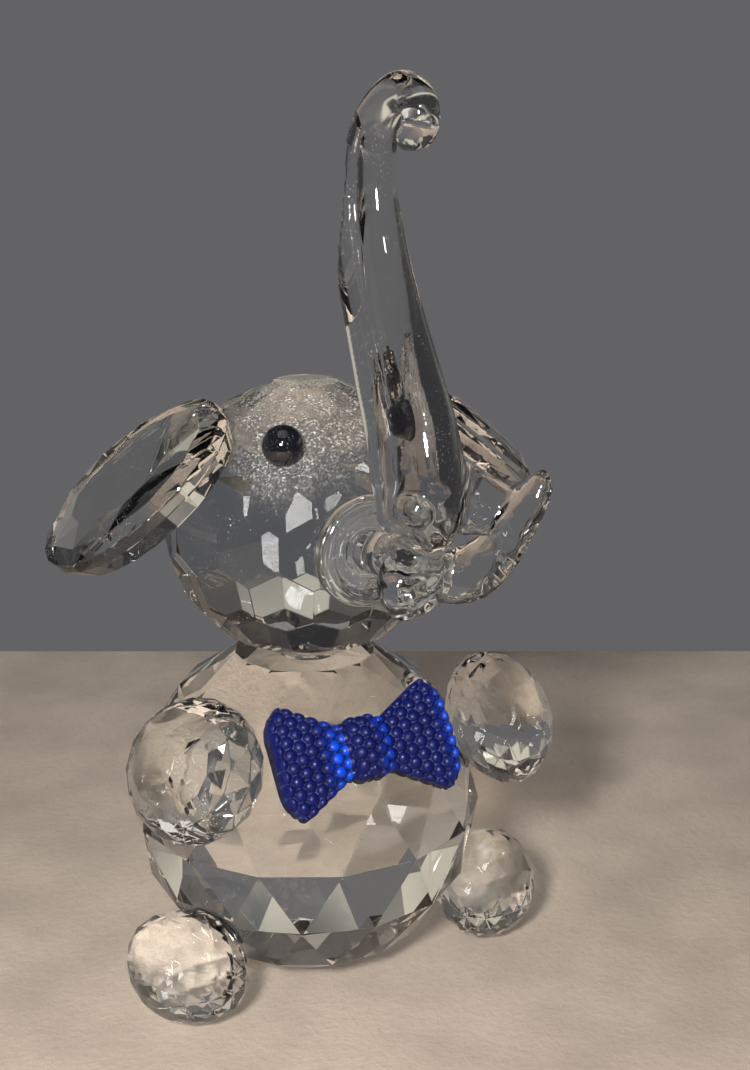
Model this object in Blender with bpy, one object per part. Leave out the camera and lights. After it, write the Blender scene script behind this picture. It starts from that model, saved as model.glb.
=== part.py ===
"""Crystal glass elephant figurine: cut glass balls and stones, a hand-drawn glass trunk and a resin bow tie, glued.

Metres, +Z up. The elephant faces -Y, and the origin is the centre of the flat that it stands on.
A direction on a ball is given by its turn, from straight ahead towards the left side (+X), and its rise from level.
"""

import math

import bmesh
import bpy
import numpy as np
from mathutils import Matrix, Vector

SIDES = {"right": -1, "left": 1}

# Glue bonds: a clear pad between two ground flats, with a gap on each side of it.
BOND_THICKNESS = 0.0002
BOND_GAP = 0.0001
BOND_SPACE = BOND_THICKNESS + 2 * BOND_GAP
BOND_SEGMENTS = 28

# Body ball, cut in staggered rows of triangles.
# A seat share is the radius of the flats for glued stones over the radius of the ball, so that they lie under the facets.
BODY_RADIUS = 0.0200
BODY_BASE_FLAT_RADIUS = 0.0073
BODY_TOP_FLAT_RADIUS = 0.0080
BODY_SEAT_SHARE = 0.2885
BODY_FACETS_ROUND = 14
BODY_ROWS = 7

# Head ball, cut in staggered rows of flat windows.
HEAD_RADIUS = 0.0157
HEAD_FACET_DEPTH = 0.00040
HEAD_NECK_FLAT_RADIUS = 0.0037
HEAD_CROWN_FLAT_RADIUS = 0.0034
HEAD_SEAT_SHARE = 0.2504
HEAD_FORWARD = 0.0010
HEAD_FACETS_ROUND = 14
HEAD_FACETS_TURN = 4.5
HEAD_ROW_RISES = (64, 44, 22.6, 1, -21, -43, -64)
HEAD_BOND_RADIUS = 0.0034

# Arms and feet: thick round stones with a flat back.
LIMB_FACETS_ROUND = 14
LIMB_FRONT_DEPTH = 0.0058
LIMB_BACK_DEPTH = 0.0048
LIMB_BACK_FLAT_RADIUS = 0.0037
LIMB_BOND_RADIUS = 0.0031
# Rows from back to front: share of the girdle, share of the back depth (below 0) or front depth, share of a step round.
LIMB_ROWS = (
    (0.74, -0.72, 0.5),
    (0.93, -0.38, 0.0),
    (1.00, -0.02, 0.5),
    (0.97, 0.25, 0.0),
    (0.82, 0.60, 0.5),
    (0.58, 0.86, 0.0),
    (0.33, 1.00, 0.5),
)
ARM_HALF_WIDTH = 0.0078
ARM_HALF_HEIGHT = 0.0078
ARM_TURN = {"right": -56, "left": 58}
ARM_RISE = {"right": 28, "left": 26}
FOOT_HALF_WIDTH = 0.0074
FOOT_HALF_HEIGHT = 0.0064
FOOT_TURN = {"right": -62, "left": 70}
FOOT_FLOOR_CLEARANCE = 0.00005

# Ears: flat oval stones glued by their inner ends.
EAR_HALF_LENGTH = 0.0124
EAR_HALF_WIDTH = 0.0086
EAR_FRONT_DEPTH = 0.0022
EAR_BACK_DEPTH = 0.0026
EAR_GIRDLE_HEIGHT = 0.0026
EAR_FACETS_ROUND = 24
EAR_OVERHANG = 0.0088
EAR_ASIDE = {"right": 0.0036, "left": -0.0026}
EAR_TURN = {"right": -85, "left": 84}
EAR_RISE = {"right": 44, "left": 51}
EAR_SWEEP = {"right": 29, "left": 27}
EAR_BOND_RADIUS = 0.0014

# Eyes: black glass half balls.
EYE_RADIUS = 0.0022
EYE_HEIGHT = 0.0027
EYE_TURN = {"right": -35, "left": 39}
EYE_RISE = 42.5
EYE_BOND_RADIUS = 0.0014

# Bow tie: a crowned resin moulding with a flat back.
BOW_HALF_WIDTH = 0.0103
BOW_LOBE_HALF_HEIGHT = 0.0062
BOW_WAIST_HALF_HEIGHT = 0.0030
BOW_KNOT_HALF_WIDTH = 0.0025
BOW_KNOT_HALF_HEIGHT = 0.0036
BOW_THICKNESS = 0.0026
BOW_KNOT_RISE = 0.0010
BOW_TURN = -1.5
BOW_RISE = 37
BOW_ROLL = 2
BOW_BOND_RADIUS = 0.0022
BOW_KNOT_CURVE = 0.6
BOW_LOBE_FULL_SHARE = 0.72
BOW_END_CURVE = 0.115
BOW_END_FLOOR = 0.2
BOW_RIM_SHARE = 0.45
BOW_COLUMNS = 29
BOW_ROWS = 9

# Trunk: one piece of hand-drawn glass. Its plane is turned a little to the left.
TRUNK_TURN = 4
COLLAR_TURN = -0.5
COLLAR_RISE = 1.5
COLLAR_RADIUS = 0.0061
COLLAR_LENGTH = 0.0022
STEM_RADIUS = 0.0024
COLLAR_BOND_RADIUS = 0.0048
# Rings of the collar from its back: share of its radius, share of its length.
COLLAR_ROWS = ((0.90, 0.0), (1.00, 0.22), (0.98, 0.70), (0.88, 1.00), (0.76, 0.82), (0.49, 0.72))
TRUNK_SEGMENTS = 20
TRUNK_RINGS = 44
# Stations up the trunk: reach in front of the head ball, height over its centre, and radii of rod and back rib.
TRUNK_STATIONS = (
    (0.0099, 0.0056, 0.0028, 0.0026),
    (0.0105, 0.0100, 0.0033, 0.0033),
    (0.0094, 0.0144, 0.0032, 0.0032),
    (0.0070, 0.0194, 0.0029, 0.0030),
    (0.0043, 0.0248, 0.0026, 0.0027),
    (0.0018, 0.0300, 0.0024, 0.0024),
    (0.0003, 0.0350, 0.0022, 0.0021),
    (-0.0001, 0.0396, 0.0021, 0.0017),
    (0.0008, 0.0434, 0.0020, 0.0010),
    (0.0029, 0.0457, 0.0020, 0.0004),
    (0.0056, 0.0461, 0.0020, 0.0002),
    (0.0076, 0.0447, 0.0020, 0.0002),
    (0.0076, 0.0428, 0.0018, 0.0002),
    (0.0058, 0.0421, 0.0013, 0.0002),
)
RIB_BACK = 0.0034
RIB_ASIDE = -0.0014
SECTION_MIDDLE_SHARE = 0.45
# Places below are steps aside to the left, in front of the head ball, and up from its centre.
MOUTH_BEAD_PLACE = (-0.0022, 0.0112, 0.0078)
MOUTH_BEAD_RADIUS = 0.0021
STEM_BEND = (-0.0005, 0.0048, 0.0012)
STEM_END = (0.0000, 0.0087, 0.0056)
# Each lip or web station ends with its half width and half thickness.
RIGHT_LIP_STATIONS = (
    (0.0002, 0.0089, 0.0048, 0.0024, 0.0020),
    (-0.0002, 0.0093, 0.0028, 0.0030, 0.0022),
    (-0.0010, 0.0089, 0.0006, 0.0034, 0.0022),
    (-0.0020, 0.0091, -0.0014, 0.0032, 0.0021),
    (-0.0027, 0.0096, -0.0028, 0.0017, 0.0013),
)
LEFT_LIP_STATIONS = (
    (-0.0002, 0.0088, 0.0022, 0.0016, 0.0018),
    (0.0008, 0.0092, 0.0006, 0.0026, 0.0018),
    (0.0024, 0.0106, 0.0000, 0.0029, 0.0017),
    (0.0040, 0.0124, 0.0010, 0.0030, 0.0017),
    (0.0055, 0.0140, 0.0032, 0.0027, 0.0016),
    (0.0070, 0.0154, 0.0064, 0.0021, 0.0015),
    (0.0083, 0.0163, 0.0094, 0.0015, 0.0013),
    (0.0087, 0.0163, 0.0107, 0.0007, 0.0007),
)
LIP_WEB_STATIONS = (
    (0.0006, 0.0107, 0.0092, 0.0036, 0.0012),
    (0.0036, 0.0127, 0.0078, 0.0034, 0.0009),
    (0.0064, 0.0146, 0.0072, 0.0022, 0.0009),
)
WEDGE_AXIS = (0.25, 0.25, 1.0)
PETAL_AXIS = (0.90, -0.44, 0.0)
LIP_SEGMENTS = 16
LIP_RINGS = 18
STEM_RINGS = 10
SMOOTH_EDGE_ANGLE = 35


def flat_distance(radius, flat_radius):
    """Distance from a ball's centre to a flat of this radius ground on it."""
    return math.sqrt(radius**2 - flat_radius**2)


def direction(turn, rise):
    turn, rise = math.radians(turn), math.radians(rise)
    return Vector((math.sin(turn) * math.cos(rise), -math.cos(turn) * math.cos(rise), math.sin(rise)))


def seat_frame(centre, outward, distance, roll=0):
    """Frame on a ball's flat: Z outwards, Y up the slope, turned about Z by roll degrees."""
    upright = Vector((0, 1, 0)) if abs(outward.z) > 0.999 else Vector((0, 0, 1))
    across = upright.cross(outward).normalized()
    frame = Matrix((across, outward.cross(across), outward)).transposed().to_4x4()
    frame.translation = centre + outward * distance
    return frame @ Matrix.Rotation(math.radians(roll), 4, "Z")


def make_material(name, colour, roughness, transmission=0.0, ior=1.5):
    material = bpy.data.materials.new(name)
    material.use_nodes = True
    shader = material.node_tree.nodes["Principled BSDF"]
    shader.inputs["Base Color"].default_value = (*colour, 1)
    shader.inputs["Roughness"].default_value = roughness
    shader.inputs["Metallic"].default_value = 0.0
    shader.inputs["Transmission Weight"].default_value = transmission
    shader.inputs["IOR"].default_value = ior
    return material


def make_piece(name, shape, material, frame=None):
    mesh = bpy.data.meshes.new(name)
    shape.to_mesh(mesh)
    shape.free()
    mesh.materials.append(material)
    piece = bpy.data.objects.new(name, mesh)
    bpy.context.scene.collection.objects.link(piece)
    if frame is not None:
        piece.matrix_world = frame
    return piece


def hull_of(points):
    """Closed convex solid round the points, with flat stretches joined into single facets."""
    shape = bmesh.new()
    for point in points:
        shape.verts.new(point)
    found = bmesh.ops.convex_hull(shape, input=shape.verts)
    inside = {item for item in found["geom_interior"] + found["geom_unused"] if isinstance(item, bmesh.types.BMVert)}
    bmesh.ops.delete(shape, geom=list(inside), context="VERTS")
    bmesh.ops.dissolve_limit(shape, angle_limit=math.radians(0.4), verts=shape.verts, edges=shape.edges)
    bmesh.ops.recalc_face_normals(shape, faces=shape.faces)
    return shape


def ring(half_x, half_y, height, count, phase=0.0):
    """Points round an ellipse; phase is a share of one step."""
    angles = [2 * math.pi * (i + phase) / count for i in range(count)]
    return [Vector((half_x * math.cos(a), half_y * math.sin(a), height)) for a in angles]


def grind_flats(shape, flats):
    """Cuts a flat at each (outward direction, distance from the centre)."""
    for outward, distance in flats:
        cut = bmesh.ops.bisect_plane(
            shape,
            geom=[*shape.verts, *shape.edges, *shape.faces],
            plane_co=outward * distance,
            plane_no=outward,
            clear_outer=True,
        )
        rim = [item for item in cut["geom_cut"] if isinstance(item, bmesh.types.BMEdge)]
        bmesh.ops.contextual_create(shape, geom=rim)
    bmesh.ops.recalc_face_normals(shape, faces=shape.faces)
    return shape


def between_planes(planes):
    """Solid inside all planes (outward direction, distance): each corner is the pole of a face of the planes' poles."""
    poles = hull_of([outward / distance for outward, distance in planes])
    corners = [face.normal / face.normal.dot(face.verts[0].co) for face in poles.faces]
    poles.free()
    return hull_of(corners)


def smooth_route(stations, count):
    """Catmull-Rom curve through the rows of stations, as count evenly numbered rows."""
    rows = np.array(stations, float)
    rows = np.vstack([2 * rows[0] - rows[1], rows, 2 * rows[-1] - rows[-2]])
    along = np.linspace(0, len(stations) - 1, count)
    start = np.minimum(along.astype(int), len(stations) - 2)
    t = (along - start)[:, None]
    a, b, c, d = (rows[start + i] for i in range(4))
    return 0.5 * (2 * b + (c - a) * t + (2 * a - 5 * b + 4 * c - d) * t**2 + (3 * b - a - 3 * c + d) * t**3)


def skin(rings):
    """Closed solid through rings of points of equal count, with a flat cap at each end."""
    shape = bmesh.new()
    rows = [[shape.verts.new(point) for point in points] for points in rings]
    for low, high in zip(rows, rows[1:]):
        for i in range(len(low)):
            j = (i + 1) % len(low)
            shape.faces.new((low[i], low[j], high[j], high[i]))
    shape.faces.new(rows[0])
    shape.faces.new(rows[-1])
    bmesh.ops.recalc_face_normals(shape, faces=shape.faces)
    return shape


def tube_frames(route, reference):
    """Unit axes across a route: one square to the reference direction, and one square to both."""
    along = np.gradient(route, axis=0)
    along /= np.linalg.norm(along, axis=1)[:, None]
    thick = np.cross(np.broadcast_to(reference, along.shape), along)
    thick /= np.linalg.norm(thick, axis=1)[:, None]
    return np.cross(along, thick), thick


def reach_to_circle(centre_u, centre_v, radius, angles):
    """Distance from the section's middle, at each angle, to the far side of a circle; 0 where the ray misses."""
    on_ray = centre_u * np.cos(angles) + centre_v * np.sin(angles)
    off_ray = centre_u * np.sin(angles) - centre_v * np.cos(angles)
    inside = np.maximum(radius**2 - off_ray**2, 0)
    return np.where(inside > 0, on_ray + np.sqrt(inside), 0)


def trunk_axes():
    """Unit directions aside to the left and forward in the trunk's own plane."""
    turn = math.radians(TRUNK_TURN)
    return Vector((math.cos(turn), math.sin(turn), 0)), Vector((math.sin(turn), -math.cos(turn), 0))


def trunk_point(head_centre, aside, ahead, up):
    """The place this far aside, in front of the head ball and up from its centre."""
    left, forward = trunk_axes()
    return head_centre + left * aside + forward * (HEAD_RADIUS + ahead) + Vector((0, 0, up))


def trunk_rod_rings(head_centre):
    """Rings up the trunk: the outline of two overlapping circles, the front rod and the smaller back rib."""
    ahead, up, rod, rib = smooth_route(TRUNK_STATIONS, TRUNK_RINGS).T
    route = np.array([trunk_point(head_centre, 0, a, u) for a, u in zip(ahead, up)])
    left, _forward = trunk_axes()
    sideways, frontwards = tube_frames(route, np.array(left))
    angles = np.arange(TRUNK_SEGMENTS) * 2 * math.pi / TRUNK_SEGMENTS
    share = np.clip(rib / rod, 0, 1)
    rings = []
    for i, centre in enumerate(route):
        rib_u, rib_v = RIB_ASIDE * share[i], -RIB_BACK * share[i]
        towards = SECTION_MIDDLE_SHARE * share[i]
        middle_u, middle_v = rib_u * towards, rib_v * towards
        to_rod = reach_to_circle(-middle_u, -middle_v, rod[i], angles)
        to_rib = reach_to_circle(rib_u - middle_u, rib_v - middle_v, rib[i], angles)
        reach = np.maximum(to_rod, to_rib)
        u = middle_u + reach * np.cos(angles)
        v = middle_v + reach * np.sin(angles)
        rings.append(centre + u[:, None] * sideways[i] + v[:, None] * frontwards[i])
    return rings


def flat_tube_rings(route, half_width, half_thickness, reference, segments):
    """Elliptical rings along a route; the width lies along the reference direction where it can."""
    wide, thick = tube_frames(route, reference)
    angles = np.arange(segments) * 2 * math.pi / segments
    across = np.cos(angles)[None, :, None] * half_width[:, None, None] * wide[:, None, :]
    through = np.sin(angles)[None, :, None] * half_thickness[:, None, None] * thick[:, None, :]
    return route[:, None, :] + across + through


def lip_rings(head_centre, stations, width_axis):
    rows = smooth_route(stations, LIP_RINGS)
    route = np.array([trunk_point(head_centre, *row[:3]) for row in rows])
    return flat_tube_rings(route, rows[:, 3], rows[:, 4], np.array(width_axis), LIP_SEGMENTS)


def stem_rings(head_centre, outward, seat_distance):
    """Round rod from inside the collar, over the bend, into the foot of the trunk."""
    start = head_centre + outward * (seat_distance + BOND_SPACE + COLLAR_LENGTH / 2)
    places = [start, trunk_point(head_centre, *STEM_BEND), trunk_point(head_centre, *STEM_END)]
    route = smooth_route(places, STEM_RINGS)
    radii = np.full(STEM_RINGS, STEM_RADIUS)
    return flat_tube_rings(route, radii, radii, np.array((1.0, 0.0, 0.0)), LIP_SEGMENTS)


def collar_shape():
    """Turned foot of the trunk: a shallow disc with a hollowed front and a raised middle, Z forward."""
    rims = []
    for across, height in COLLAR_ROWS:
        rims.append(ring(across * COLLAR_RADIUS, across * COLLAR_RADIUS, height * COLLAR_LENGTH, 2 * LIP_SEGMENTS))
    return skin(rims)


def make_trunk(head_centre, material):
    """The rod with its stem, collar, lips and bead joined to it."""
    outward = direction(COLLAR_TURN, COLLAR_RISE)
    seat_distance = flat_distance(HEAD_RADIUS, COLLAR_RADIUS)
    trunk = make_piece("trunk", skin(trunk_rod_rings(head_centre)), material)
    bead = bmesh.new()
    bmesh.ops.create_uvsphere(bead, u_segments=16, v_segments=10, radius=MOUTH_BEAD_RADIUS)
    collar_frame = seat_frame(head_centre, outward, seat_distance + BOND_SPACE)
    helpers = [
        make_piece("join_stem", skin(stem_rings(head_centre, outward, seat_distance)), material),
        make_piece("join_collar", collar_shape(), material, collar_frame),
        make_piece("join_bead", bead, material, Matrix.Translation(trunk_point(head_centre, *MOUTH_BEAD_PLACE))),
    ]
    lips = {
        "join_right_lip": (RIGHT_LIP_STATIONS, PETAL_AXIS),
        "join_left_lip": (LEFT_LIP_STATIONS, WEDGE_AXIS),
        "join_lip_web": (LIP_WEB_STATIONS, WEDGE_AXIS),
    }
    for name, (stations, width_axis) in lips.items():
        helpers.append(make_piece(name, skin(lip_rings(head_centre, stations, width_axis)), material))
    for helper in helpers:
        helper.hide_render = True
        helper.display_type = "WIRE"
        joint = trunk.modifiers.new(helper.name, "BOOLEAN")
        joint.operation = "UNION"
        joint.object = helper
    shade_round(trunk)
    make_bond("trunk_bond", head_centre, outward, seat_distance, COLLAR_BOND_RADIUS)
    return outward, seat_distance


def shade_round(piece):
    piece.data.shade_smooth()
    piece.data.set_sharp_from_angle(angle=math.radians(SMOOTH_EDGE_ANGLE))


def make_bond(name, centre, outward, distance, radius):
    rims = [ring(radius, radius, height, BOND_SEGMENTS) for height in (0.0, BOND_THICKNESS)]
    frame = seat_frame(centre, outward, distance + BOND_GAP)
    return make_piece(name, skin(rims), bpy.data.materials["clear_adhesive"], frame)


def make_body_ball(centre, seats, material):
    low = -math.degrees(math.asin(flat_distance(BODY_RADIUS, BODY_BASE_FLAT_RADIUS) / BODY_RADIUS))
    high = math.degrees(math.asin(flat_distance(BODY_RADIUS, BODY_TOP_FLAT_RADIUS) / BODY_RADIUS))
    points = []
    for row in range(BODY_ROWS):
        rise = math.radians(low + (high - low) * row / (BODY_ROWS - 1))
        around = BODY_RADIUS * math.cos(rise)
        points += ring(around, around, BODY_RADIUS * math.sin(rise), BODY_FACETS_ROUND, (row + 1) % 2 / 2)
    shape = grind_flats(hull_of(points), seats)
    return make_piece("body_ball", shape, material, Matrix.Translation(centre))


def make_head_ball(centre, seats, material):
    planes = [
        (Vector((0, 0, -1)), flat_distance(HEAD_RADIUS, HEAD_NECK_FLAT_RADIUS)),
        (Vector((0, 0, 1)), flat_distance(HEAD_RADIUS, HEAD_CROWN_FLAT_RADIUS)),
    ]
    for row, rise in enumerate(HEAD_ROW_RISES):
        for i in range(HEAD_FACETS_ROUND):
            turn = HEAD_FACETS_TURN + 360 * (i + (row + 1) % 2 / 2) / HEAD_FACETS_ROUND
            planes.append((direction(turn, rise), HEAD_RADIUS - HEAD_FACET_DEPTH))
    shape = grind_flats(between_planes(planes), seats)
    return make_piece("head_ball", shape, material, Matrix.Translation(centre))


def limb_profile():
    """Rings of a limb stone from its flat back to its front table: share of its girdle, height, phase."""
    rows = [(None, -LIMB_BACK_DEPTH, 0.0)]
    for share, height, phase in LIMB_ROWS:
        rows.append((share, height * (LIMB_BACK_DEPTH if height < 0 else LIMB_FRONT_DEPTH), phase))
    return rows


def limb_shape(half_width, half_height):
    points = []
    for share, height, phase in limb_profile():
        wide = LIMB_BACK_FLAT_RADIUS if share is None else share * half_width
        high = LIMB_BACK_FLAT_RADIUS if share is None else share * half_height
        points += ring(wide, high, height, LIMB_FACETS_ROUND, phase)
    return hull_of(points)


def foot_rise(centre_height, distance):
    """The rise at which a foot stone, glued on the ball at this distance, just clears the floor."""
    steep, level = -80.0, 0.0
    for _ in range(40):
        middle = (steep + level) / 2
        rise = math.radians(middle)
        drops = []
        for share, height, _phase in limb_profile():
            reach = LIMB_BACK_FLAT_RADIUS if share is None else share * FOOT_HALF_HEIGHT
            drops.append(reach * math.cos(rise) - height * math.sin(rise))
        if centre_height + distance * math.sin(rise) - max(drops) > FOOT_FLOOR_CLEARANCE:
            level = middle
        else:
            steep = middle
    return level


def ear_shape():
    """Oval stone: a flat back, an upright girdle, and a crown of two rows round an oval table."""
    half_girdle = EAR_GIRDLE_HEIGHT / 2
    rings = (
        (0.90, -EAR_BACK_DEPTH, 0.0, EAR_FACETS_ROUND),
        (1.00, 0.35 * EAR_BACK_DEPTH - half_girdle, 0.0, EAR_FACETS_ROUND),
        (1.00, EAR_FRONT_DEPTH - half_girdle, 0.0, EAR_FACETS_ROUND),
        (0.86, 0.80 * EAR_FRONT_DEPTH, 0.5, EAR_FACETS_ROUND // 2),
        (0.58, EAR_FRONT_DEPTH, 0.0, EAR_FACETS_ROUND // 2),
    )
    points = []
    for share, height, phase, count in rings:
        points += ring(share * EAR_HALF_LENGTH, share * EAR_HALF_WIDTH, height, count, phase)
    return hull_of(points)


def eye_shape():
    """Half ball with a short straight side, flat on the glue."""
    rows = 7
    rims = [ring(EYE_RADIUS, EYE_RADIUS, 0.0, BOND_SEGMENTS)]
    straight = EYE_HEIGHT - EYE_RADIUS
    for row in range(rows):
        rise = math.radians(84) * row / (rows - 1)
        around = EYE_RADIUS * math.cos(rise)
        rims.append(ring(around, around, straight + EYE_RADIUS * math.sin(rise), BOND_SEGMENTS))
    return skin(rims)


def bow_half_height(x):
    """Half height of the bow across its width: the knot, then a waist that widens to the end of the lobe."""
    across = abs(x)
    if across <= BOW_KNOT_HALF_WIDTH:
        return BOW_KNOT_HALF_HEIGHT * math.cos(BOW_KNOT_CURVE * across / BOW_KNOT_HALF_WIDTH)
    share = (across - BOW_KNOT_HALF_WIDTH) / (BOW_HALF_WIDTH - BOW_KNOT_HALF_WIDTH)
    gain = BOW_LOBE_HALF_HEIGHT - BOW_WAIST_HALF_HEIGHT
    opened = BOW_WAIST_HALF_HEIGHT + gain * min(share / BOW_LOBE_FULL_SHARE, 1)
    past = max(share - BOW_LOBE_FULL_SHARE, 0)
    return opened * math.sqrt(max(1 - past**2 / BOW_END_CURVE, BOW_END_FLOOR))


def bow_shape():
    """Closed moulding: a flat back, and a front crowned up and down, highest at the knot."""
    shape = bmesh.new()
    front, back = [], []
    for i in range(BOW_COLUMNS):
        x = BOW_HALF_WIDTH * (2 * i / (BOW_COLUMNS - 1) - 1)
        half = bow_half_height(x)
        knot = BOW_KNOT_RISE * max(1 - (x / BOW_KNOT_HALF_WIDTH) ** 2, 0)
        front_line, back_line = [], []
        for j in range(BOW_ROWS):
            y = half * (2 * j / (BOW_ROWS - 1) - 1)
            crowned = BOW_RIM_SHARE + (1 - BOW_RIM_SHARE) * math.sqrt(1 - (y / half) ** 2)
            crown = (BOW_THICKNESS + knot) * crowned
            front_line.append(shape.verts.new((x, y, crown)))
            back_line.append(shape.verts.new((x, y, 0)))
        front.append(front_line)
        back.append(back_line)
    for i in range(BOW_COLUMNS - 1):
        for j in range(BOW_ROWS - 1):
            shape.faces.new((front[i][j], front[i + 1][j], front[i + 1][j + 1], front[i][j + 1]))
            shape.faces.new((back[i][j], back[i][j + 1], back[i + 1][j + 1], back[i + 1][j]))
        for j in (0, BOW_ROWS - 1):
            shape.faces.new((front[i][j], front[i + 1][j], back[i + 1][j], back[i][j]))
    for i in (0, BOW_COLUMNS - 1):
        for j in range(BOW_ROWS - 1):
            shape.faces.new((front[i][j], front[i][j + 1], back[i][j + 1], back[i][j]))
    bmesh.ops.recalc_face_normals(shape, faces=shape.faces)
    return shape


def make_bow(body_centre, seat_distance, material):
    outward = direction(BOW_TURN, BOW_RISE)
    frame = seat_frame(body_centre, outward, seat_distance + BOND_SPACE, BOW_ROLL)
    shade_round(make_piece("bow_tie", bow_shape(), material, frame))
    make_bond("bow_bond", body_centre, outward, seat_distance, BOW_BOND_RADIUS)
    return outward


def make_limbs(body_centre, seat_distance, material):
    """Both arms and both feet with their bonds; returns the directions of their seats."""
    girdle_distance = seat_distance + BOND_SPACE + LIMB_BACK_DEPTH
    rest_rise = foot_rise(body_centre.z, girdle_distance)
    outwards = []
    for side in SIDES:
        arm = direction(ARM_TURN[side], ARM_RISE[side])
        foot = direction(FOOT_TURN[side], rest_rise)
        limbs = {
            "arm": (arm, limb_shape(ARM_HALF_WIDTH, ARM_HALF_HEIGHT)),
            "foot": (foot, limb_shape(FOOT_HALF_WIDTH, FOOT_HALF_HEIGHT)),
        }
        for kind, (outward, shape) in limbs.items():
            frame = seat_frame(body_centre, outward, girdle_distance)
            make_piece(f"{side}_{kind}", shape, material, frame)
            make_bond(f"{side}_{kind}_bond", body_centre, outward, seat_distance, LIMB_BOND_RADIUS)
            outwards.append(outward)
    return outwards


def make_ears(head_centre, seat_distance, material):
    """Both ears with their bonds; returns the directions of their seats."""
    outwards = []
    for side, sign in SIDES.items():
        outward = direction(EAR_TURN[side], EAR_RISE[side])
        height = seat_distance + BOND_SPACE + EAR_BACK_DEPTH
        frame = seat_frame(head_centre, outward, height, -90 + sign * EAR_SWEEP[side])
        make_piece(f"{side}_ear", ear_shape(), material, frame @ Matrix.Translation((EAR_OVERHANG, EAR_ASIDE[side], 0)))
        make_bond(f"{side}_ear_bond", head_centre, outward, seat_distance, EAR_BOND_RADIUS)
        outwards.append(outward)
    return outwards


def make_eyes(head_centre, seat_distance, material):
    """Both eyes with their bonds; returns the directions of their seats."""
    outwards = []
    for side in SIDES:
        outward = direction(EYE_TURN[side], EYE_RISE)
        frame = seat_frame(head_centre, outward, seat_distance + BOND_SPACE)
        shade_round(make_piece(f"{side}_eye", eye_shape(), material, frame))
        make_bond(f"{side}_eye_bond", head_centre, outward, seat_distance, EYE_BOND_RADIUS)
        outwards.append(outward)
    return outwards


def clear_scene():
    for item in list(bpy.data.objects):
        bpy.data.objects.remove(item, do_unlink=True)


def main():
    clear_scene()
    crystal = make_material("cut_crystal", (0.97, 0.98, 1.0), 0.02, 1.0, 1.56)
    lamp_glass = make_material("lampworked_glass", (0.98, 0.98, 0.97), 0.03, 1.0, 1.50)
    black_glass = make_material("black_glass", (0.01, 0.01, 0.015), 0.08)
    blue_resin = make_material("blue_resin", (0.01, 0.02, 0.30), 0.25)
    make_material("clear_adhesive", (0.95, 0.95, 0.93), 0.10, 1.0, 1.50)

    body_top = flat_distance(BODY_RADIUS, BODY_TOP_FLAT_RADIUS)
    head_neck = flat_distance(HEAD_RADIUS, HEAD_NECK_FLAT_RADIUS)
    body_centre = Vector((0, 0, flat_distance(BODY_RADIUS, BODY_BASE_FLAT_RADIUS)))
    head_centre = body_centre + Vector((0, -HEAD_FORWARD, body_top + BOND_SPACE + head_neck))
    body_seat = flat_distance(BODY_RADIUS, BODY_SEAT_SHARE * BODY_RADIUS)
    head_seat = flat_distance(HEAD_RADIUS, HEAD_SEAT_SHARE * HEAD_RADIUS)

    limb_seats = make_limbs(body_centre, body_seat, crystal)
    bow_seat = make_bow(body_centre, body_seat, blue_resin)
    body_seats = [(outward, body_seat) for outward in [*limb_seats, bow_seat]]
    make_body_ball(body_centre, body_seats, crystal)

    neck_axis = Vector((0, 0, 1))
    neck_centre = body_centre - Vector((0, HEAD_FORWARD, 0))
    make_bond("head_bond", neck_centre, neck_axis, body_top, HEAD_BOND_RADIUS)

    side_seats = make_ears(head_centre, head_seat, crystal) + make_eyes(head_centre, head_seat, black_glass)
    trunk_seat = make_trunk(head_centre, lamp_glass)
    head_seats = [(outward, head_seat) for outward in side_seats]
    make_head_ball(head_centre, [*head_seats, trunk_seat], crystal)


main()
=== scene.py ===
"""Looks of the crystal glass elephant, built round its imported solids.

Metres, +Z up; the elephant faces -Y and its left side is +X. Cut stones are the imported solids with
their facet edges eased. The drawn trunk, the pebbled bow tie, the eyes and the glue pads are worked
out here from sizes in mm.
"""

import logging
import math
from collections.abc import Callable
from dataclasses import dataclass, field
from enum import Enum

import bmesh
import bpy
import numpy as np
import numpy.typing as npt
from mathutils import Matrix, Vector


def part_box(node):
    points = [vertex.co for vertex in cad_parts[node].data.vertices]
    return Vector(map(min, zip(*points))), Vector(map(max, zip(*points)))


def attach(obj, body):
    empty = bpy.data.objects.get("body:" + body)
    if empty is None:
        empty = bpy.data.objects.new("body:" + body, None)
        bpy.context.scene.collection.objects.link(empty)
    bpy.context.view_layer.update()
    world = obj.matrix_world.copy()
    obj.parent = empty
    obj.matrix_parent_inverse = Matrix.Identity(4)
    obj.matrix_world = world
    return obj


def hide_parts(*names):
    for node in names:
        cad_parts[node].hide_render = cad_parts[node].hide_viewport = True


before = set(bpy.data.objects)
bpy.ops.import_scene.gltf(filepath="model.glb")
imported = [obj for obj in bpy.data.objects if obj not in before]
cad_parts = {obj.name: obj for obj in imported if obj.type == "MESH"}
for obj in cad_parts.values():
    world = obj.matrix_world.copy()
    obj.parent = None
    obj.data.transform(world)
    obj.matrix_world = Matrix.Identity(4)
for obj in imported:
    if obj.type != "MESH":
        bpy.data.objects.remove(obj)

Floats = npt.NDArray[np.float64]
Ints = npt.NDArray[np.int64]
Colour = tuple[float, float, float]
Pair = tuple[float, float]
Step = tuple[float, ...]
Node = bpy.types.Node
Socket = bpy.types.NodeSocket
Material = bpy.types.Material
Mesh = bpy.types.Mesh
Object = bpy.types.Object

LOG = logging.getLogger("elephant")
MM = 0.001
BODY = "root"
SEAT_MAP = "seat"
OFF_SEAT = 4.0
WELD = 2e-6
TINY = 1e-9
UPRIGHT = 0.99
PARALLEL = 0.999
SIDEWAYS = (1.0, 0.0, 0.0)
UP = (0.0, 0.0, 1.0)


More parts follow.
